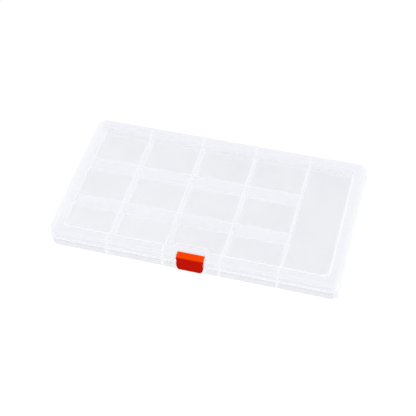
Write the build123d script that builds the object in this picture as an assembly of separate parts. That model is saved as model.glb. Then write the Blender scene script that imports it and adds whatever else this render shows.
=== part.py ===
"""Flat compartment case for craft parts, with a hinged lid and one snap latch.

The origin is the middle of the underside. +X runs to the right along the front
edge, +Y runs back to the hinge and +Z points up. All sizes are in millimetres.
"""

from math import radians, tan
import os

from build123d import *

# Outside of the closed case
lid_length = 205.0
lid_width = 114.0
lid_corner = 7.0
rim_height = 14.5
rim_edge_radius = 1.4

# Lid shell
lid_wall = 1.2
panel_rise = 1.5
panel_side_margin = 8.3
panel_front_margin = 6.7
panel_rear_margin = 9.2
panel_corner = 4.5
panel_draft = 15.0
panel_edge_radius = 0.35

# Jog of the raised panel round the latch
jog_depth = 3.2
jog_back_half = 10.3
jog_front_half = 13.3
jog_corner = 1.2

# Tray shell
tray_wall = 1.2
tray_floor = 1.2
shoulder_height = 6.9
flush_inset = 0.3
outer_draft = 1.0
foot_radius = 1.0
lead_in = 0.3

# Clearances between the lid and the tray
lid_gap = 0.3
seat_gap = 0.3
wall_top_gap = 0.4

# Compartments
columns = 5
rows = 3
divided_columns = 4
partition_thickness = 1.0
cell_draft = 0.75
cell_corner = 1.2
floor_chamfer = 0.8

# Loose cross dividers and the rib pairs that hold their ends
divider_thickness = 1.0
divider_end_gap = 0.25
divider_edge_radius = 0.3
slot_gap = 0.1
rib_proud = 0.9
rib_thickness = 0.8
rib_top_drop = 0.4
rib_slope = 1.2

# Latch
latch_width = 18.8
latch_waist = 0.3
latch_waist_low = 8.6
latch_wall = 1.4
latch_proud = 0.2
latch_bottom = 2.2
latch_corner = 4.0
latch_front_radius = 1.2
latch_lip = 0.6
latch_lip_height = 3.0
latch_plate_gap = 0.3
web_thickness = 1.2
web_drop = 4.5

# Latch hook and the shelf that it catches under
shelf_thickness = 1.5
hook_reach = 0.9
hook_gap = 0.4
hook_tip = 0.8
hook_slope = 1.4
hook_side_margin = 2.6

# Latch pivot
pivot_setback = 3.0
barrel_radius = 2.1
curl_angle = 110.0
latch_pin_radius = 0.8
latch_pin_gap = 0.05
latch_pin_bite = 0.9
latch_side_gap = 0.3
swing_gap = 0.3
cheek_thickness = 1.2
cheek_gap = 0.4
cheek_radius = 1.9
catch_side_gap = 1.0

# Rear hinges
hinge_half_spacing = 62.0
hinge_setback = 2.2
hinge_pin_radius = 1.1
hinge_pin_gap = 0.05
hook_radius = 1.9
hook_width = 12.0
hook_side_gap = 0.3
hook_mouth = 1.7
hook_mouth_angle = -50.0
hook_web_low = 0.9
hook_web_high = 4.5
ear_radius = 1.8
ear_thickness = 2.0
ear_low = 1.5
ear_high = 3.8

# Heights and faces that follow from the sizes above
half_length = lid_length / 2
half_width = lid_width / 2
rim_underside = rim_height - lid_wall
skirt_low = shoulder_height + seat_gap
wall_top = rim_underside - wall_top_gap
upper_inset = lid_wall + lid_gap
cavity_inset = upper_inset + tray_wall
cavity_half_x = half_length - cavity_inset
cavity_half_y = half_width - cavity_inset
cavity_corner = lid_corner - cavity_inset
cell_length = (2 * cavity_half_x - (columns - 1) * partition_thickness) / columns
cell_width = (2 * cavity_half_y - (rows - 1) * divider_thickness) / rows
cell_lean = (wall_top - tray_floor) * tan(radians(cell_draft))
panel_top = rim_height + panel_rise

# Places of the latch, its bay in the tray and the rear hinges
latch_top = rim_height + latch_proud
latch_half = latch_width / 2
notch_half = latch_half + latch_side_gap
bay_half = notch_half + cheek_thickness + cheek_gap
catch_half = latch_half + catch_side_gap
pivot_y = -half_width + pivot_setback
pivot_z = latch_top - barrel_radius
notch_back = pivot_y + barrel_radius + swing_gap
bay_inner_y = notch_back + tray_wall
shelf_front = -half_width + flush_inset
shelf_bottom = shoulder_height - shelf_thickness
plate_inner = shelf_front - latch_plate_gap
latch_under = latch_top - latch_wall
hinge_y = half_width + hinge_setback
hinge_z = panel_top / 2

# How far cutting shapes run past the faces that they open, and when two points count as one
over = 1.0
same_point = 0.001


def bar(x_span, y_span, z_span):
    """Box between two values on each axis."""
    spans = (x_span, y_span, z_span)
    size = [high - low for low, high in spans]
    middle = [(low + high) / 2 for low, high in spans]
    return Pos(*middle) * Box(*size)


def inset_block(inset, start, end, draft=0.0):
    """Upright block, inset all round from the lid, that narrows from start to end."""
    size_x = 2 * (half_length - inset)
    size_y = 2 * (half_width - inset)
    outline = Pos(0, 0, start) * RectangleRounded(size_x, size_y, lid_corner - inset)
    way = (0, 0, 1 if end > start else -1)
    return extrude(outline, amount=abs(end - start), dir=way, taper=draft)


def side_plate(profile, x_low, x_high):
    """Plate between two x values, from a profile drawn with y across and z up."""
    return Pos(x_low, 0, 0) * extrude(Plane.YZ * profile, amount=x_high - x_low)


def hull_profile(centre, radius, first, second):
    """Profile that wraps a circle and the line between two points."""
    circle = Edge.make_circle(radius, Plane((*centre, 0)))
    line = Edge.make_line((*first, 0), (*second, 0))
    return make_hull([circle, line])


def sharp_corners(outline):
    """Vertices of an outline that no arc ends at."""
    arc_ends = [v for arc in outline.edges().filter_by(GeomType.CIRCLE) for v in arc.vertices()]
    return [v for v in outline.vertices() if all(v.distance_to(end) > same_point for end in arc_ends)]


def column_start(column):
    """x of the left face of a column of compartments, at the wall tops."""
    return -cavity_half_x + column * (cell_length + partition_thickness)


def row_line(row):
    """y of the middle of a cross divider, counted from the front."""
    return -cavity_half_y + (row + 1) * cell_width + (row + 0.5) * divider_thickness


def column_hollow(column):
    """Space of one column, with drafted walls and sloped floor edges."""
    middle = column_start(column) + cell_length / 2
    outline = RectangleRounded(2 * cavity_half_x, 2 * cavity_half_y, cavity_corner)
    outline = outline & (Pos(middle, 0) * Rectangle(cell_length, 2 * cavity_half_y))
    bay_depth = bay_inner_y + cavity_half_y + over
    bay = Rectangle(2 * (bay_half + tray_wall), bay_depth, align=(Align.CENTER, Align.MAX))
    outline = outline - (Pos(0, bay_inner_y) * bay)
    outline = fillet(sharp_corners(outline), cell_corner)
    depth = wall_top - tray_floor
    hollow = extrude(Pos(0, 0, wall_top) * outline, amount=depth, dir=(0, 0, -1), taper=cell_draft)
    hollow = chamfer(hollow.faces().sort_by(Axis.Z)[0].edges(), floor_chamfer)
    top = hollow.faces().sort_by(Axis.Z)[-1]
    return hollow + extrude(top, amount=over, dir=(0, 0, 1))


def slot_rib(wall_x, side, y_low):
    """Rib on a wall face, leaning into the wall at its top as a lead-in."""
    root = wall_x - side * partition_thickness / 2
    edge = wall_x + side * rib_proud
    rib_top = wall_top - rib_top_drop
    corners = [(root, tray_floor / 2), (edge, tray_floor / 2), (edge, rib_top - rib_slope), (root, rib_top)]
    face = Plane.XZ * make_face(Polyline(*corners, close=True))
    return Pos(0, y_low, 0) * extrude(face, amount=-rib_thickness)


def slot_ribs():
    """Rib pairs at every row line, on both walls of every column."""
    reach = divider_thickness / 2 + slot_gap
    ribs = []
    for column in range(columns):
        for row in range(rows - 1):
            for wall_x, side in ((column_start(column), 1), (column_start(column) + cell_length, -1)):
                ribs.append(slot_rib(wall_x, side, row_line(row) - reach - rib_thickness))
                ribs.append(slot_rib(wall_x, side, row_line(row) + reach))
    return ribs


def hinge_ears(middle_x):
    """Two ears on the back wall, with the pin moulded between them."""
    root_y = half_width - flush_inset - tray_wall / 2
    profile = hull_profile((hinge_y, hinge_z), ear_radius, (root_y, ear_low), (root_y, ear_high))
    inner = hook_width / 2 + hook_side_gap
    outer = inner + ear_thickness
    left = side_plate(profile, middle_x - outer, middle_x - inner)
    right = side_plate(profile, middle_x + inner, middle_x + outer)
    pin = side_plate(Pos(hinge_y, hinge_z) * Circle(hinge_pin_radius), middle_x - outer, middle_x + outer)
    return left + right + pin


def make_tray():
    """Tray with its partitions, slot ribs, latch bay, catch shelf and hinge pins."""
    lower = inset_block(flush_inset, shoulder_height, 0, outer_draft)
    lower = fillet(lower.faces().sort_by(Axis.Z)[0].edges(), foot_radius)
    upper = inset_block(upper_inset, tray_floor, wall_top)
    upper = chamfer(upper.faces().sort_by(Axis.Z)[-1].edges(), lead_in)
    tray = lower + upper
    for column in range(columns):
        tray -= column_hollow(column)
    front = -half_width - over
    tray -= bar((-bay_half, bay_half), (front, notch_back), (shoulder_height, wall_top + over))
    tray -= bar((-catch_half, catch_half), (front, notch_back), (-over, shelf_bottom))
    tray += slot_ribs()
    for middle_x in (-hinge_half_spacing, hinge_half_spacing):
        tray += hinge_ears(middle_x)
    return tray


def make_divider(column, row):
    """Loose cross divider that stands on the floor between two rib pairs."""
    middle = column_start(column) + cell_length / 2
    top_half = cell_length / 2 - divider_end_gap
    low_half = top_half - cell_lean
    cut = floor_chamfer + divider_end_gap
    right_side = [(low_half - cut, tray_floor), (low_half, tray_floor + cut), (top_half, wall_top)]
    left_side = [(-x, z) for x, z in reversed(right_side)]
    face = Plane.XZ * make_face(Polyline(*right_side, *left_side, close=True))
    plate = extrude(face, amount=divider_thickness / 2, both=True)
    plate = fillet(plate.faces().sort_by(Axis.Z)[-1].edges().filter_by(Axis.X), divider_edge_radius)
    return Pos(middle, row_line(row), 0) * plate


def panel_outline():
    """Outline of the raised panel, which jogs back round the latch."""
    front = -half_width + panel_front_margin
    rear = half_width - panel_rear_margin
    outline = RectangleRounded(2 * (half_length - panel_side_margin), rear - front, panel_corner)
    outline = Pos(0, (front + rear) / 2) * outline
    back = front + jog_depth
    slope = (jog_front_half - jog_back_half) / jog_depth
    corners = [
        (-jog_front_half - over * slope, front - over),
        (-jog_back_half, back),
        (jog_back_half, back),
        (jog_front_half + over * slope, front - over),
    ]
    outline -= make_face(Polyline(*corners, close=True))
    return fillet(sharp_corners(outline), jog_corner)


def lid_hook(middle_x):
    """Open hook on the back of the skirt that snaps over a tray pin."""
    root_y = half_width - lid_wall / 2
    low = (root_y, skirt_low + hook_web_low)
    high = (root_y, skirt_low + hook_web_high)
    profile = hull_profile((hinge_y, hinge_z), hook_radius, low, high)
    profile -= Pos(hinge_y, hinge_z) * Circle(hinge_pin_radius + hinge_pin_gap)
    mouth = Rectangle(2 * hook_radius, hook_mouth, align=(Align.MIN, Align.CENTER))
    profile -= Pos(hinge_y, hinge_z) * Rot(0, 0, hook_mouth_angle) * mouth
    return side_plate(profile, middle_x - hook_width / 2, middle_x + hook_width / 2)


def lid_cheek(side):
    """Wall beside the latch notch that carries a latch pin."""
    front = -half_width + lid_wall / 2
    low = (front, pivot_z - cheek_radius)
    high = (front, rim_underside)
    profile = hull_profile((pivot_y, pivot_z), cheek_radius, low, high)
    below_rim = Rectangle(lid_width, rim_height, align=(Align.CENTER, Align.MAX))
    profile &= Pos(0, rim_height - lid_wall / 2) * below_rim
    near, far = sorted((side * notch_half, side * (notch_half + cheek_thickness)))
    return side_plate(profile, near, far)


def make_lid():
    """Lid shell with its raised panel, latch notch and hinge hooks."""
    shell = inset_block(0, skirt_low, rim_height)
    shell = fillet(shell.faces().sort_by(Axis.Z)[-1].edges(), rim_edge_radius)
    outline = panel_outline()
    raised = extrude(Pos(0, 0, rim_height) * outline, amount=panel_rise, dir=(0, 0, 1), taper=panel_draft)
    raised = fillet(raised.faces().sort_by(Axis.Z)[-1].edges(), panel_edge_radius)
    hollow = inset_block(lid_wall, skirt_low - over, rim_underside)
    inner = Pos(0, 0, rim_underside) * offset(outline, amount=-lid_wall)
    inner_raised = extrude(inner, amount=panel_rise, dir=(0, 0, 1), taper=panel_draft)
    lid = shell + raised - hollow - inner_raised
    front = -half_width - over
    lid -= bar((-notch_half, notch_half), (front, notch_back), (skirt_low - over, rim_height + over))
    lid += [lid_cheek(-1), lid_cheek(1)]
    bore = Pos(pivot_y, pivot_z) * Circle(latch_pin_radius + latch_pin_gap)
    bore_half = notch_half + cheek_thickness
    lid -= side_plate(bore, -bore_half, bore_half)
    lid += [lid_hook(-hinge_half_spacing), lid_hook(hinge_half_spacing)]
    return lid


def latch_skin():
    """Top, front plate and rear curl of the latch, as one bent strip."""
    outer_y = plate_inner - latch_wall
    lip_y = outer_y - latch_lip
    pivot = (pivot_y, pivot_z)
    outer_curl = CenterArc(pivot, barrel_radius, 90, -curl_angle)
    inner_curl = CenterArc(pivot, barrel_radius - latch_wall, 90, -curl_angle)
    front_middle = (outer_y + latch_front_radius, latch_top - latch_front_radius)
    front_edge = CenterArc(front_middle, latch_front_radius, 90, 90)
    plate = Polyline(
        inner_curl @ 0,
        (plate_inner, latch_under),
        (plate_inner, latch_bottom),
        (lip_y + latch_wall / 2, latch_bottom),
        (lip_y, latch_bottom + latch_wall / 2),
        (outer_y, latch_bottom + latch_lip_height),
        front_edge @ 1,
    )
    top = Line(front_edge @ 0, outer_curl @ 0)
    curl_end = Line(outer_curl @ 1, inner_curl @ 1)
    strip = make_face([top, outer_curl, curl_end, inner_curl, plate, front_edge])
    return side_plate(strip, -latch_half, latch_half)


def latch_front_outline():
    """Front view of the latch, waisted at the sides and rounded below."""
    waist = latch_half - latch_waist
    waist_z = (latch_under + latch_waist_low) / 2
    right = ThreePointArc((latch_half, latch_under), (waist, waist_z), (latch_half, latch_waist_low))
    left = ThreePointArc((-latch_half, latch_under), (-waist, waist_z), (-latch_half, latch_waist_low))
    low = [(latch_half, latch_bottom), (-latch_half, latch_bottom)]
    high = [(latch_half, latch_top + over), (-latch_half, latch_top + over)]
    bottom = Polyline(right @ 1, *low, left @ 1)
    top = Polyline(right @ 0, *high, left @ 0)
    face = make_face([right, bottom, left, top])
    return fillet(face.vertices().sort_by(Axis.Y)[:2], latch_corner)


def latch_web():
    """End wall under the latch top, wrapped round the pivot."""
    root_y = plate_inner - latch_wall / 2
    low = (root_y, latch_under - web_drop)
    return hull_profile((pivot_y, pivot_z), barrel_radius, low, (root_y, pivot_z))


def latch_hook():
    """Hook on the back of the front plate that goes under the tray's shelf."""
    root_y = plate_inner - latch_wall / 2
    tip_y = shelf_front + hook_reach
    hook_top = shelf_bottom - hook_gap
    tip_low = hook_top - hook_tip
    corners = [(root_y, hook_top), (tip_y, hook_top), (tip_y, tip_low), (root_y, tip_low - hook_slope)]
    return make_face(Polyline(*corners, close=True))


def make_latch():
    """Latch with its side webs, pivot pins and hook."""
    hook_half = latch_half - hook_side_margin
    latch = latch_skin()
    latch += side_plate(latch_web(), -latch_half, -latch_half + web_thickness)
    latch += side_plate(latch_web(), latch_half - web_thickness, latch_half)
    latch += side_plate(latch_hook(), -hook_half, hook_half)
    latch &= extrude(Plane.XZ * latch_front_outline(), amount=lid_width, both=True)
    pin_reach = notch_half + latch_pin_bite
    latch += side_plate(Pos(pivot_y, pivot_z) * Circle(latch_pin_radius), -pin_reach, pin_reach)
    return latch


def row_name(row):
    """Word for a row line: front for the first, rear for the last, else its number."""
    if row == 0:
        return "front"
    return "rear" if row == rows - 2 else f"row_{row + 1}"


def main():
    """Write each piece to its own file."""
    os.makedirs("parts", exist_ok=True)
    pieces = {"base_tray": make_tray(), "lid": make_lid(), "latch": make_latch()}
    for column in range(min(divided_columns, columns)):
        for row in range(rows - 1):
            pieces[f"divider_{column + 1}_{row_name(row)}"] = make_divider(column, row)
    for name, piece in pieces.items():
        export_step(piece, f"parts/{name}.step")


main()
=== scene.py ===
# %% [markdown]
# # A compartment case for craft parts, in milky clear plastic
#
# The case is three mouldings that work together: a tray with partitions, a shallow lid on two rear
# hinges and a coloured snap latch, with eight loose cross dividers standing in the tray. Their
# shapes, places and joints are already made at their real size and come in as a fixed frame. What
# is made here is how they look: thin plastic that lets light through, scatters a little of it white
# and shows bright lines wherever an edge is turned towards the eye.

import bpy
from math import cos, radians, sin
from mathutils import Matrix, Vector
from types import SimpleNamespace


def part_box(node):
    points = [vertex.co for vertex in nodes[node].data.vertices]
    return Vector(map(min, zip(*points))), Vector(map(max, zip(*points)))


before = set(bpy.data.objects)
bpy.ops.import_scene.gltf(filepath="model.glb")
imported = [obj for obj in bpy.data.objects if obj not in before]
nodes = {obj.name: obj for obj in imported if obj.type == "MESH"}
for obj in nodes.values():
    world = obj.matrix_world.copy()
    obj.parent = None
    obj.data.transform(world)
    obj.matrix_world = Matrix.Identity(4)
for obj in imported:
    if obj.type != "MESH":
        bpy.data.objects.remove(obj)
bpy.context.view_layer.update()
print("pieces:", sorted(nodes))

# %% [markdown]
# The photograph looks down on the case from the front right. A camera is easiest to describe as a
# maker would set up a tripod: the point that it aims at, its compass direction, how high it looks
# down from, how far away it stands and how much it leans to one side. Fitting those to straight
# edges of the case gave the values here. The lens follows from how wide the case looks. The Standard
# view shows every colour as it is written.

# %% Camera
photo_size = 416.0
focal_pixels = 1065.6
sensor_width = 36.0
aim_point = Vector((-0.00141, -0.00504, 0.008))
camera_distance = 0.7547
camera_azimuth = radians(16.745)
camera_elevation = radians(48.836)
camera_roll = radians(2.054)
near_clip = 0.01

camera_data = bpy.data.cameras.new("camera")
camera_data.sensor_width = sensor_width
camera_data.lens = sensor_width * focal_pixels / photo_size
camera_data.clip_start = near_clip
camera = bpy.data.objects.new("camera", camera_data)
bpy.context.collection.objects.link(camera)
away = Vector((
    sin(camera_azimuth) * cos(camera_elevation),
    -cos(camera_azimuth) * cos(camera_elevation),
    sin(camera_elevation),
))
turn = (-away).to_track_quat("-Z", "Y").to_matrix() @ Matrix.Rotation(-camera_roll, 3, "Z")
camera.matrix_world = Matrix.Translation(aim_point + away * camera_distance) @ turn.to_4x4()
bpy.context.scene.camera = camera
bpy.context.scene.view_settings.view_transform = "Standard"
print("camera at", [round(c, 3) for c in camera.location], "m with a", round(camera_data.lens, 1), "mm lens")

# %% [markdown]
# A material is a small network of nodes. It could be joined up by mouse, but in code each network can
# be read like a formula. The first helper makes one node and fills in or links its inputs, and the
# second makes an empty material for the nodes to stand in.

# %% Helpers that make nodes
def add_node(tree, kind, settings=(), **inputs):
    """Node of a kind, with its settings and inputs.

    An input is named as on the node, or i0, i1 and so on by its place. A plain value is
    filled in, and the output of another node is linked.
    """
    node = tree.nodes.new(kind)
    for name, value in dict(settings).items():
        setattr(node, name, value)
    for name, value in inputs.items():
        by_place = name[0] == "i" and name[1:].isdigit()
        socket = node.inputs[int(name[1:]) if by_place else name]
        if isinstance(value, bpy.types.NodeSocket):
            tree.links.new(value, socket)
        else:
            socket.default_value = value
    return node


def new_material(name):
    """Empty material, its node tree and its output node."""
    material = bpy.data.materials.new(name)
    material.use_nodes = True
    tree = material.node_tree
    tree.nodes.clear()
    output = tree.nodes.new("ShaderNodeOutputMaterial")
    return material, tree, output


print("helpers ready: a node and an empty material")

# %% [markdown]
# The finishes of this case are worked out from shares between 0 and 1: how hazy, how level, how near
# an edge. Two shares that both have to hold are multiplied, of two that may each hold the larger
# counts, and what a share leaves over is 1 less that share.

# %% Arithmetic with shares
def math_node(tree, operation, first, second=0.0, clamp=False):
    """Output of a Math node: one operation on two values, held between 0 and 1 if clamp is set."""
    settings = {"operation": operation, "use_clamp": clamp}
    return add_node(tree, "ShaderNodeMath", settings, i0=first, i1=second).outputs[0]


def product(tree, first, *others):
    """Product of two or more values."""
    for other in others:
        first = math_node(tree, "MULTIPLY", first, other)
    return first


def larger(tree, first, second):
    """The larger of two values."""
    return math_node(tree, "MAXIMUM", first, second)


def left_over(tree, share):
    """What a share leaves over: 1 less that share."""
    return math_node(tree, "SUBTRACT", 1.0, share)


print("arithmetic ready: any operation, a product, the larger of two and what is left over")

# %% [markdown]
# A share seldom jumps from 0 to 1. A smooth ramp turns any reading, such as a height, into a share
# with a soft border, and a blend uses that share to go from one value or colour to another. The Mix
# node keeps inputs for values and for colours under the same names, so its colours are found by place.

# %% Ramps and blends
blend_colour_inputs = slice(6, 8)
blend_colour_output = 2


def ramp(tree, value, low, high, at_low=0.0, at_high=1.0):
    """Value carried from low..high to at_low..at_high, smooth and held at both ends."""
    settings = {"interpolation_type": "SMOOTHSTEP"}
    node = add_node(tree, "ShaderNodeMapRange", settings, Value=value)
    limits = {"From Min": low, "From Max": high, "To Min": at_low, "To Max": at_high}
    for name, limit in limits.items():
        node.inputs[name].default_value = limit
    return node.outputs["Result"]


def blend_values(tree, share, first, second):
    """Blend of two values by a share that may vary over the surface."""
    return add_node(tree, "ShaderNodeMix", Factor=share, A=first, B=second).outputs[0]


def blend_colours(tree, share, first, second):
    """Blend of two colours by a share that may vary over the surface."""
    node = add_node(tree, "ShaderNodeMix", {"data_type": "RGBA"}, i0=share)
    for socket, colour in zip(node.inputs[blend_colour_inputs], (first, second)):
        if isinstance(colour, bpy.types.NodeSocket):
            tree.links.new(colour, socket)
        else:
            socket.default_value = (*colour, 1)
    return node.outputs[blend_colour_output]


print("ramps and blends ready, for values and for colours")

# %% [markdown]
# The case lies on a sheet of white card under a white tent. A plain lit card would come out grey and
# uneven round the case, and a purely glowing one would lose its shadow. So the card is a plain diffuse
# white for the light that bounces off it, and for the eye it is mostly white by itself, with a small
# lit share that still takes the soft shadow.

# %% White card
floor_drop = 0.0002
floor_reach = 3.0
card_white = 0.95
card_lit_share = 0.15
card_seen = 1.02


def grey(value):
    """Colour of a grey, with no transparency."""
    return (value, value, value, 1)


def seen_directly(tree):
    """1 for rays that see the backdrop, straight, mirrored or through plastic, and 0 for light."""
    path = add_node(tree, "ShaderNodeLightPath")
    mirrored = math_node(tree, "ADD", path.outputs["Is Camera Ray"], path.outputs["Is Glossy Ray"])
    return math_node(tree, "ADD", mirrored, path.outputs["Is Transmission Ray"], clamp=True)


def card_material():
    """White card: diffuse for light, mostly white by itself for the eye."""
    material, tree, output = new_material("white_card")
    bounce = add_node(tree, "ShaderNodeBsdfDiffuse", Color=grey(card_white)).outputs[0]
    lit = add_node(tree, "ShaderNodeBsdfDiffuse", Color=grey(card_lit_share)).outputs[0]
    glow = add_node(tree, "ShaderNodeEmission", Color=grey(1), Strength=card_seen - card_lit_share)
    seen = add_node(tree, "ShaderNodeAddShader", i0=lit, i1=glow.outputs[0]).outputs[0]
    mix = add_node(tree, "ShaderNodeMixShader", i0=seen_directly(tree), i1=bounce, i2=seen)
    tree.links.new(mix.outputs[0], output.inputs["Surface"])
    return material


bpy.ops.mesh.primitive_plane_add(size=2 * floor_reach, location=(0, 0, -floor_drop))
floor = bpy.context.object
floor.name = "floor"
floor.data.materials.append(card_material())
print("card", 2 * floor_reach, "m square, just under the case")

# %% [markdown]
# The tent lights the case evenly from all round, and three large square lamps give it direction: one
# above, one in front and one at the right, so that the upright walls shine a little. Large lamps
# close by keep every shadow soft. None of them shows in the gloss, because the tent is what such a
# case mirrors in a studio.

# %% White tent and softboxes
tent_light = 0.95

world = bpy.data.worlds.new("white_tent")
bpy.context.scene.world = world
world.use_nodes = True
tent = world.node_tree
tent.nodes.clear()
extra_seen = product(tent, seen_directly(tent), 1 - tent_light)
tent_strength = math_node(tent, "ADD", extra_seen, tent_light)
tent_glow = add_node(tent, "ShaderNodeBackground", Color=grey(1), Strength=tent_strength)
tent_out = add_node(tent, "ShaderNodeOutputWorld")
tent.links.new(tent_glow.outputs[0], tent_out.inputs["Surface"])


def softbox(name, place, size, power):
    """Square lamp of a size in metres and a power in watts, at a place, turned to the case."""
    data = bpy.data.lights.new(name, "AREA")
    data.size = size
    data.energy = power
    lamp = bpy.data.objects.new(name, data)
    lamp.visible_glossy = False
    turn = (-Vector(place)).to_track_quat("-Z", "Y").to_matrix().to_4x4()
    lamp.matrix_world = Matrix.Translation(place) @ turn
    bpy.context.collection.objects.link(lamp)
    return lamp


softboxes = [
    softbox("top_softbox", place=(-0.25, 0.35, 1.1), size=0.9, power=0.65),
    softbox("front_softbox", place=(0.3, -1.1, 0.55), size=0.7, power=1.3),
    softbox("side_softbox", place=(1.2, 0.1, 0.3), size=0.7, power=1.4),
]
softbox_power = sum(lamp.data.energy for lamp in softboxes)
print("tent light", tent_light, "with", round(softbox_power, 2), "W of softboxes")

# %% [markdown]
# Milky clear plastic does three things to a ray of light. Most of it goes straight through. A share is
# scattered white, and that share grows when the wall is crossed at a slant, because the way through is
# longer. And a few percent is mirrored off the smooth skin, more at a slant. A glass shader would bend
# every ray at thin walls that hardly bend it, at a high price in noise, so each face here simply mixes
# clear, white and mirror by these two shares.

# %% How much one face scatters and mirrors
square_on_mirror = 0.04
slanted_mirror = 0.35
mirror_power = 5.0
least_cosine = 0.2


def haze_share(tree, facing, share, uneven):
    """Scattered share of one face: 1 - (1 - share) ** (uneven / cosine of the slant)."""
    cosine = larger(tree, left_over(tree, facing), least_cosine)
    length = math_node(tree, "DIVIDE", uneven, cosine)
    clear = math_node(tree, "POWER", left_over(tree, share), length)
    return math_node(tree, "SUBTRACT", 1.0, clear, clamp=True)


def mirror_share(tree, facing):
    """Mirrored share of one face: 4% square on, rising with the fifth power of the slant."""
    rise = product(tree, math_node(tree, "POWER", facing, mirror_power), slanted_mirror)
    return math_node(tree, "ADD", rise, square_on_mirror, clamp=True)


sample_haze = 0.13
sample_cosines = (1.0, 0.5, 0.25)
for cosine in sample_cosines:
    scattered = 1 - (1 - sample_haze) ** (1 / cosine)
    mirrored = square_on_mirror + slanted_mirror * (1 - cosine) ** mirror_power
    print(f"haze {sample_haze} at cosine {cosine}: scatters {scattered:.2f}, mirrors {mirrored:.2f}")

# %% [markdown]
# The light that the plastic scatters isn't lost: it goes on to what lies behind. A ray tracer would
# count every scattering wall as a small shadow, and a closed case with twenty walls would turn grey
# inside. So for the rays that carry light from face to face the plastic is made nearly clear. A look
# through so many walls also asks for more clear layers than a ray is followed through by default.

# %% Light that passes the walls
light_passed = 0.9
clear_layers = 32

bpy.context.scene.cycles.transparent_max_bounces = clear_layers


def for_the_eye(tree):
    """1 for rays that see the plastic, and small for those that carry light and shadow."""
    path = add_node(tree, "ShaderNodeLightPath")
    carries = larger(tree, path.outputs["Is Shadow Ray"], path.outputs["Is Diffuse Ray"])
    return left_over(tree, product(tree, carries, light_passed))


print("light that a wall lets on:", light_passed, "and clear layers that are followed:", clear_layers)

# %% [markdown]
# One moulding doesn't look the same all over. Its level faces, its walls and its side walls each take
# the light another way, and its edges shine. So the material first asks where on the piece a spot lies
# and which way the piece faces there. Both are read on the piece itself, so the finish stays in place
# when the lid or the latch turns.

# %% Where a spot lies and how it faces
level_turn = (0.5, 0.95)
aside_turn = (0.75, 0.95)


def read_spot(tree):
    """Place of a spot on its piece, and from 0 to 1 how level, upright and sideways it faces."""
    reading = add_node(tree, "ShaderNodeTexCoord")
    place = add_node(tree, "ShaderNodeSeparateXYZ", i0=reading.outputs["Object"])
    turned = add_node(tree, "ShaderNodeSeparateXYZ", i0=reading.outputs["Normal"])
    up = math_node(tree, "ABSOLUTE", turned.outputs["Z"])
    aside = math_node(tree, "ABSOLUTE", turned.outputs["X"])
    level = ramp(tree, up, *level_turn)
    return SimpleNamespace(
        place=reading.outputs["Object"],
        x=place.outputs["X"],
        y=place.outputs["Y"],
        height=place.outputs["Z"],
        up=up,
        looks_up=turned.outputs["Z"],
        level=level,
        upright=left_over(tree, level),
        aside=ramp(tree, aside, *aside_turn),
    )


print("a spot counts as level past a cosine of", level_turn, "and as sideways past", aside_turn)

# %% [markdown]
# Where the eye looks along a wall instead of through it, at the tops of the partitions, at the step
# round the raised panel and at the lower edge of the skirt, the plastic is centimetres deep and looks
# solid white, and these edges catch the light as well. So they get a painted highlight, which is partly
# that depth of plastic and partly painted light. Extra strips of mesh could stand for those bright
# lines, but they are no pieces of the case. Here they are picked out by their height on the piece and
# by the way they face. From here on every length on the case is in millimetres, as a maker would
# measure it.

# %% Painted highlight lines at the edges
mm = 0.001
band_blur = 0.2


def fade(tree, value, low, high, at_low=0.0, at_high=1.0):
    """Smooth ramp of a length, between two limits in millimetres."""
    return ramp(tree, value, low * mm, high * mm, at_low, at_high)


def past(tree, value, limit, before=0.0, beyond=1.0):
    """One value before a limit in millimetres, and another just past it."""
    return fade(tree, value, limit, limit + band_blur, before, beyond)


def between(tree, value, low, high):
    """1 between two limits in millimetres, falling to 0 just outside them."""
    return product(tree, fade(tree, value, low - band_blur, low), past(tree, value, high, 1.0, 0.0))


def edge_lines(tree, height, mask, bands):
    """1 on the faces of a mask whose height lies in one of the bands, in millimetres."""
    edge = 0.0
    for low, high in bands:
        edge = larger(tree, edge, product(tree, between(tree, height, low, high), mask))
    return edge


print("edges blur over", band_blur, "mm")

# %% [markdown]
# Nothing moulded is quite even. A slow, faint cloud varies the haze as flow in a mould does, and a fine
# grain roughens the gloss. Both are noise that is read at the place on the piece. An image could do the
# same, but it would have to be laid round every corner.

# %% Cloud and grain
cloud_detail = 2.0
cloud_limits = (0.3, 0.7)
grain_detail = 3.0
grain_depth = 0.2


def cloud(tree, at, scale, low, high):
    """Value that drifts between low and high, in patches that get smaller as the scale grows."""
    noise = add_node(tree, "ShaderNodeTexNoise", Vector=at.place, Scale=scale, Detail=cloud_detail)
    return ramp(tree, noise.outputs["Fac"], *cloud_limits, low, high)


def fine_grain(tree, at, scale, strength):
    """Normal of a surface with a fine grain in it."""
    noise = add_node(tree, "ShaderNodeTexNoise", Vector=at.place, Scale=scale, Detail=grain_detail)
    bump = {"Strength": strength, "Distance": grain_depth * mm, "Height": noise.outputs["Fac"]}
    return add_node(tree, "ShaderNodeBump", **bump).outputs[0]


print("the grain is at most", grain_depth, "mm deep")

# %% [markdown]
# One face is built up like paint on a window. Clear comes first, then white by the scattered share, or
# by a nearly full share at an edge, where the white is a painted highlight, and last the mirror on top.
# The white has no gloss of its own, because the mirror already stands for the skin.

# %% One face of milky plastic
plain_facing = 0.5
# The white at an edge is a painted highlight.
edge_share = 0.85
haze_cloud = 28.0
haze_range = (0.92, 1.08)
skin_grain = (900.0, 0.02)
chalk_roughness = 0.5
chalk_specular = 0.0
gloss_roughness = 0.12


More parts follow.
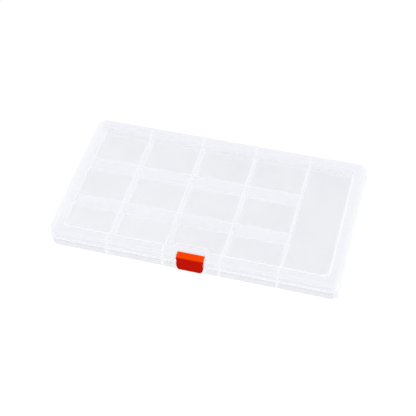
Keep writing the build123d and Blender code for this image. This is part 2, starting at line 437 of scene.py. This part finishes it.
def milky_face(tree, at, white, share, edge):
    """Shader that shows clear, white and mirror by a scattered share and an edge of 0 to 1, where the edge
    is a painted highlight.
    """
    facing = add_node(tree, "ShaderNodeLayerWeight", Blend=plain_facing).outputs["Facing"]
    scattered = haze_share(tree, facing, share, cloud(tree, at, haze_cloud, *haze_range))
    solid = product(tree, edge, edge_share)
    seen = for_the_eye(tree)
    opacity = product(tree, larger(tree, scattered, solid), seen)
    shine = product(tree, mirror_share(tree, facing), seen)

    normal = fine_grain(tree, at, *skin_grain)
    chalk = add_node(tree, "ShaderNodeBsdfPrincipled", Roughness=chalk_roughness, Normal=normal)
    tree.links.new(white, chalk.inputs["Base Color"])
    chalk.inputs["Specular IOR Level"].default_value = chalk_specular
    clear = add_node(tree, "ShaderNodeBsdfTransparent", Color=grey(1))
    gloss = add_node(tree, "ShaderNodeBsdfAnisotropic", Color=grey(1), Normal=normal)
    gloss.inputs["Roughness"].default_value = gloss_roughness
    wall = add_node(tree, "ShaderNodeMixShader", i0=opacity, i1=clear.outputs[0], i2=chalk.outputs[0])
    return add_node(tree, "ShaderNodeMixShader", i0=shine, i1=wall.outputs[0], i2=gloss.outputs[0])


print("an edge scatters", edge_share, "of the light, and the haze varies by a factor of", haze_range)

# %% [markdown]
# The three kinds of moulding share one recipe. Its whites are a cool one for floors and the lid, which
# show the blue of thick polystyrene, a paler one for walls, painted light for the light they take from
# both sides, and a bright one for edges and side walls, which is a painted highlight on the edges and
# painted light on the side walls. What only one moulding has is added by a finish of its own.

# %% Recipe for a moulding
cool_white = (0.597, 0.61, 0.695)
pale_white = (0.92, 0.93, 0.97)
bright_white = (0.95, 0.958, 0.99)
side_wall_light_share = 0.93


def milky_plastic(name, haze, level_edges, upright_edges, finish=None):
    """Clear plastic with a white haze, a painted highlight of solid white at its edges and painted light on
    side walls.

    The two values of haze are the scattered shares of a level and of an upright face seen
    square on. The edges are the heights, in millimetres, between which level or upright
    faces look solid, as a painted highlight. A finish may change the share, the edge and the white of some
    places.
    """
    material, tree, output = new_material(name)
    at = read_spot(tree)
    level_edge = edge_lines(tree, at.height, at.level, level_edges)
    upright_edge = edge_lines(tree, at.height, at.upright, upright_edges)
    # Upright faces get the paler white, painted light for the light from both sides.
    look = SimpleNamespace(
        share=blend_values(tree, at.upright, *haze),
        edge=larger(tree, level_edge, upright_edge),
        white=blend_colours(tree, at.upright, cool_white, pale_white),
    )
    if finish:
        finish(tree, at, look)
    # Faces that look sideways get painted light, and edges a painted highlight, in the bright white.
    side_wall_light = product(tree, at.aside, side_wall_light_share)
    bright = larger(tree, look.edge, side_wall_light)
    white = blend_colours(tree, bright, look.white, bright_white)
    face = milky_face(tree, at, white, look.share, look.edge)
    tree.links.new(face.outputs[0], output.inputs["Surface"])
    return material


def give(material, *names):
    """Put one material on whole pieces."""
    for name in names:
        mesh = nodes[name].data
        mesh.materials.clear()
        mesh.materials.append(material)
    print(material.name, "on", ", ".join(sorted(names)))


print("whites:", cool_white, pale_white, bright_white)

# %% [markdown]
# The finishes mark real places on the case: wall tops, partitions, rows of dividers, the panel and the
# rim. They could all be typed in, but then they would stay behind if the case were made longer. So the
# boxes of the pieces are measured once, and every other place is counted from those few sizes. The
# five columns are equally wide, which puts the four partitions half a column and one and a half
# columns to either side of the middle.

# %% Sizes measured on the pieces
reach_past = 0.1
partition_steps = (-1.5, -0.5, 0.5, 1.5)


def corners(name):
    """Low and high corner of the box round a piece, in millimetres."""
    return [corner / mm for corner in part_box(name)]


tray_low, tray_high = corners("base_tray")
lid_low, lid_high = corners("lid")
first_column = [corners(name)[0] for name in ("divider_1_front", "divider_1_rear")]
wall_top = tray_high.z
half_length = lid_high.x
half_depth = -lid_low.y
floor_height = first_column[0].z
column_pitch = corners("divider_2_front")[0].x - first_column[0].x
partitions = [step * column_pitch for step in partition_steps]
print("case", round(2 * half_length, 2), "mm long and", round(2 * half_depth, 2), "mm deep")
print("partitions at", [round(x, 2) for x in partitions], "mm, up to", round(wall_top, 2), "mm high")

# %% [markdown]
# The dividers are flat plates that stand across the columns. They are the simplest case: hazy plates
# with a painted highlight along the top and the bottom, where the eye looks into the plate. Light
# reaches them from two compartments, so they are painted a little whiter than the walls of the tray.

# %% Loose cross dividers
divider_haze = (0.3, 0.6)
divider_lit_white = (0.935, 0.943, 0.98)
foot_line_width = 1.2
top_line_width = 0.6
foot_line = (floor_height, floor_height + foot_line_width)
top_line = (wall_top - top_line_width, wall_top + reach_past)


def lit_plates(tree, at, look):
    """Upright faces in a whiter white, painted light for the light from two compartments."""
    look.white = blend_colours(tree, at.upright, look.white, divider_lit_white)


dividers = [name for name in nodes if name.startswith("divider")]
divider_edges = [foot_line, top_line]
give(milky_plastic("divider_plastic", divider_haze, [top_line], divider_edges, lit_plates), *dividers)

# %% [markdown]
# The tray is one moulding of floor, walls and partitions. Its front and back walls stand in the lid's
# shade, so they get painted shade that makes them duller than the rest, most of all in the foot that
# sticks out under the lid in front. A partition that meets them carries light to the outside, so they
# stay bright at those joints, where the painted shade stops.

# %% Painted shade on the end walls of the tray
joint_half_width = (0.5, 1.0)
end_wall_inset = 4.1
wall_inside = half_depth - end_wall_inset
shoulder_height = 6.9
foot_skin = 0.7
foot_front = tray_low.y + foot_skin
foot_top = shoulder_height - foot_skin
shadow_share = 0.5
shadow_haze = 0.2
steep_turn = (0.8, 0.95)


def over_partitions(tree, at):
    """1 along the lines on which the partitions stand, and 0 between them."""
    over = 0.0
    for x in partitions:
        away = math_node(tree, "ABSOLUTE", math_node(tree, "SUBTRACT", at.x, x * mm))
        over = larger(tree, over, fade(tree, away, *joint_half_width, 1.0, 0.0))
    return over


def shadowed_end_walls(tree, at, look):
    """Painted shade on the front and back walls: no bright edges, half shade, and full shade in the outer
    foot.
    """
    steep = ramp(tree, at.up, *steep_turn, 1.0, 0.0)
    outer = past(tree, math_node(tree, "ABSOLUTE", at.y), wall_inside)
    walls = product(tree, outer, steep, left_over(tree, over_partitions(tree, at)))
    low = past(tree, at.height, foot_top, 1.0, 0.0)
    foot = product(tree, low, past(tree, at.y, foot_front, 1 - shadow_share, 0.0))
    shadowed = product(tree, walls, math_node(tree, "ADD", foot, shadow_share))
    look.edge = product(tree, look.edge, left_over(tree, walls))
    look.share = blend_values(tree, shadowed, look.share, shadow_haze)
    look.white = blend_colours(tree, shadowed, look.white, cool_white)


print("end walls are dull past", round(wall_inside, 2), "mm, the foot below", round(foot_top, 2), "mm")

# %% [markdown]
# Where a divider stands on the floor, light that ran down inside it comes out again, and a line of
# painted light stands for it in front of its foot. The line lies on the floor, which belongs to the
# tray, so the tray's finish looks up where the two rows of dividers stand. In this light the floor would
# come out brighter at its right end than in the photograph. Haze darkens a floor that lies on white
# card, so the haze also grows a little from left to right, as painted shade towards the right end.

# %% Tray with painted light lines at the dividers' feet
tray_haze = (0.14, 0.23)
partition_line_width = 2.0
partition_line = (wall_top - partition_line_width, wall_top + reach_past)
shoulder_line = (shoulder_height - reach_past, shoulder_height + reach_past)
floor_level = (floor_height - reach_past, floor_height + reach_past)
divided_columns = (partitions[0] - column_pitch, partitions[-1])
foot_line_share = 0.9
right_shade_reach = 90.0
right_shade_haze = (0.88, 1.12)


def tray_finish(tree, at, look):
    """Painted shade on the end walls, more haze to the right as painted shade, and painted light lines on
    the floor in front of the dividers.
    """
    shadowed_end_walls(tree, at, look)
    # More haze towards the right end: painted shade.
    right_shade = fade(tree, at.x, -right_shade_reach, right_shade_reach, *right_shade_haze)
    look.share = product(tree, look.share, blend_values(tree, at.level, 1.0, right_shade))
    # Lines of painted light on the floor in front of the dividers' feet.
    rows = 0.0
    for corner in first_column:
        rows = larger(tree, rows, between(tree, at.y, corner.y - foot_line_width, corner.y))
    floor_spot = product(tree, between(tree, at.height, *floor_level), at.level)
    lines = product(tree, rows, between(tree, at.x, *divided_columns), floor_spot, foot_line_share)
    look.edge = larger(tree, look.edge, lines)


tray_edges = [shoulder_line, top_line]
give(milky_plastic("tray_plastic", tray_haze, tray_edges, [partition_line], tray_finish), "base_tray")

# %% [markdown]
# The lid is the clearest piece, because the photograph looks right through its panel. The step up to
# the panel shows as a bright line, made as a painted highlight. Along the front the height of the step
# is enough to find it. At the left and right the line lies on the panel's level top, so it is worked
# out as the outline of a rectangle with round corners.

# %% Distance from a rectangle with round corners
panel_side_margin = 8.4
panel_front_margin = 6.8
panel_rear_margin = 9.3
panel_corner = 4.5
panel_front = panel_front_margin - half_depth
panel_rear = half_depth - panel_rear_margin
panel_middle = (panel_front + panel_rear) / 2
panel_half = (half_length - panel_side_margin, (panel_rear - panel_front) / 2)


def panel_distance(tree, at):
    """How far a spot lies from the panel's corner centres, as a distance round its outline.

    Outside the inner rectangle of corner centres it is the length of the two distances past
    its sides, and inside it is the larger of them, which is negative. The panel's outline is
    where it equals the corner radius.
    """
    across = math_node(tree, "ABSOLUTE", at.x)
    deep = math_node(tree, "ABSOLUTE", math_node(tree, "SUBTRACT", at.y, panel_middle * mm))
    beyond = [
        math_node(tree, "SUBTRACT", reach, (half - panel_corner) * mm)
        for reach, half in zip((across, deep), panel_half)
    ]
    squares = [math_node(tree, "POWER", larger(tree, side, 0.0), 2.0) for side in beyond]
    outside = math_node(tree, "SQRT", math_node(tree, "ADD", *squares))
    inside = math_node(tree, "MINIMUM", larger(tree, *beyond), 0.0)
    return math_node(tree, "ADD", outside, inside)


print("panel of", [round(2 * half, 2) for half in panel_half], "mm with corners of", panel_corner, "mm")

# %% [markdown]
# With that distance the painted highlight lines at the two ends of the panel are a band about one wall
# wide. The lines along the front and along the skirt are thinner in a real case than any band here, so
# their painted highlight is made weaker instead. Towards the back every line is weaker still. The step
# at the back faces away from the eye and would only darken what lies behind it, so it is left clear.

# %% Painted highlight lines of the lid
seat_gap = 0.3
skirt_low = shoulder_height + seat_gap
skirt_line_width = 0.5
skirt_line = (skirt_low - band_blur, skirt_low + skirt_line_width)
skirt_strength = 0.75
step_line_width = 1.0
step_line = (lid_high.z - step_line_width, lid_high.z)
step_strength = 0.85
panel_rise = 1.5
rim_thickness = 1.5
rim_top = lid_high.z - panel_rise
rim_heights = (rim_top - rim_thickness, rim_top + reach_past)
end_line_width = 1.4
end_line_from = [panel_half[0] - inset for inset in (7.1, 5.7)]
end_line_share = 0.82
back_from = [panel_rear - inset for inset in (3.7, 2.3)]
back_share = 0.5
rear_step = [panel_rear + margin for margin in (-5.2, 2.3)]


def lid_lines(tree, at, look):
    """Painted highlight lines of the lid, with none and no haze either on the step at the back."""
    strength = past(tree, at.height, rim_heights[0], skirt_strength, step_strength)
    edge = product(tree, look.edge, strength)
    outline = between(tree, panel_distance(tree, at), panel_corner - end_line_width, panel_corner)
    at_ends = fade(tree, math_node(tree, "ABSOLUTE", at.x), *end_line_from, 0.0, end_line_share)
    edge = larger(tree, edge, product(tree, outline, at_ends, at.level))
    edge = product(tree, edge, fade(tree, at.y, *back_from, 1.0, back_share))
    keep = left_over(tree, product(tree, between(tree, at.y, *rear_step), at.upright))
    look.edge = product(tree, edge, keep)
    look.share = product(tree, look.share, keep)


print("skirt line at", [round(z, 2) for z in skirt_line], "mm up")
print("step line at", [round(z, 2) for z in step_line], "mm up")

# %% [markdown]
# Round the panel runs a lower rim, frosted so that it hides the walls beneath it. It is the stretch of
# the lid between two heights, so it needs no outline. Its white has painted shade along the front and
# the back and painted light towards the two ends, and at the back the frost is denser. A partition that
# stands right under the rim shines through as a faint line of painted light.

# %% Lid with a frosted rim
lid_haze = (0.045, 0.07)
rim_haze = 0.41
rear_rim_inset = 4.5
rear_rim_from = half_depth - rear_rim_inset
rear_rim_haze = 0.7
rear_rim_shade = 0.5
front_rim = [inset - half_depth for inset in (1.5, 14.0)]
end_rim = [half_length - inset for inset in (5.5, 3.5)]
rim_white = (0.868, 0.875, 0.92)
shaded_white = (0.838, 0.844, 0.888)
lit_end_white = (0.89, 0.897, 0.938)
glow_inset = 2.0
glow_reach = half_depth - glow_inset
rim_glow = 0.58


def rim_colour(tree, at):
    """White of the rim, with painted shade along the front and the back and painted light at the two ends.
    """
    behind = past(tree, at.y, rear_rim_from, 0.0, rear_rim_shade)
    shade = larger(tree, between(tree, at.y, *front_rim), behind)
    white = blend_colours(tree, shade, rim_white, shaded_white)
    at_ends = fade(tree, math_node(tree, "ABSOLUTE", at.x), *end_rim)
    return blend_colours(tree, at_ends, white, lit_end_white)


def frosted_rim(tree, at, look):
    """Frosted rim, the painted highlight lines of the lid, and painted light where the partitions shine
    through.
    """
    rim = between(tree, at.height, *rim_heights)
    haze = past(tree, at.y, rear_rim_from, rim_haze, rear_rim_haze)
    look.share = blend_values(tree, rim, look.share, haze)
    look.white = blend_colours(tree, rim, look.white, rim_colour(tree, at))
    lid_lines(tree, at, look)
    inside = past(tree, math_node(tree, "ABSOLUTE", at.y), glow_reach, rim_glow, 0.0)
    look.edge = larger(tree, look.edge, product(tree, over_partitions(tree, at), inside, rim))


lid_edges = [skirt_line, step_line]
give(milky_plastic("lid_plastic", lid_haze, [skirt_line], lid_edges, frosted_rim), "lid")

# %% [markdown]
# The latch is the one coloured piece, a small moulding in strong orange-red. Light from above soaks
# into its rounded top and makes it more orange there, while the plate that hangs in front stays a
# deeper red. Subsurface scattering would do the same with more noise, so this light is painted: the two
# colours are blended by how far a face looks up, with the orange as painted light on top. Light that
# bounces off the latch is nearly white, because a piece of this size tints the clear plastic round it
# much less than a ray tracer makes out.

# %% Orange-red latch
deep_red = (0.5, 0.005, 0.0)
lit_top_orange = (0.92, 0.057, 0.0)
bounced_red = (0.9, 0.8, 0.8)
lit_top_turn = (0.3, 0.95)
latch_gloss = (0.28, 0.4)
latch_cloud = 300.0
latch_grain = (1500.0, 0.08)
latch_specular = 0.01


def latch_material():
    """Red with painted light that turns it orange on faces that look up, and a slightly uneven gloss."""
    material, tree, output = new_material("latch_plastic")
    at = read_spot(tree)
    colour = blend_colours(tree, ramp(tree, at.looks_up, *lit_top_turn), deep_red, lit_top_orange)
    path = add_node(tree, "ShaderNodeLightPath")
    bounced = larger(tree, path.outputs["Is Diffuse Ray"], path.outputs["Is Glossy Ray"])
    colour = blend_colours(tree, bounced, colour, bounced_red)
    roughness = cloud(tree, at, latch_cloud, *latch_gloss)
    normal = fine_grain(tree, at, *latch_grain)
    plastic = add_node(tree, "ShaderNodeBsdfPrincipled", Roughness=roughness, Normal=normal)
    tree.links.new(colour, plastic.inputs["Base Color"])
    plastic.inputs["Specular IOR Level"].default_value = latch_specular
    tree.links.new(plastic.outputs[0], output.inputs["Surface"])
    return material


give(latch_material(), "latch")
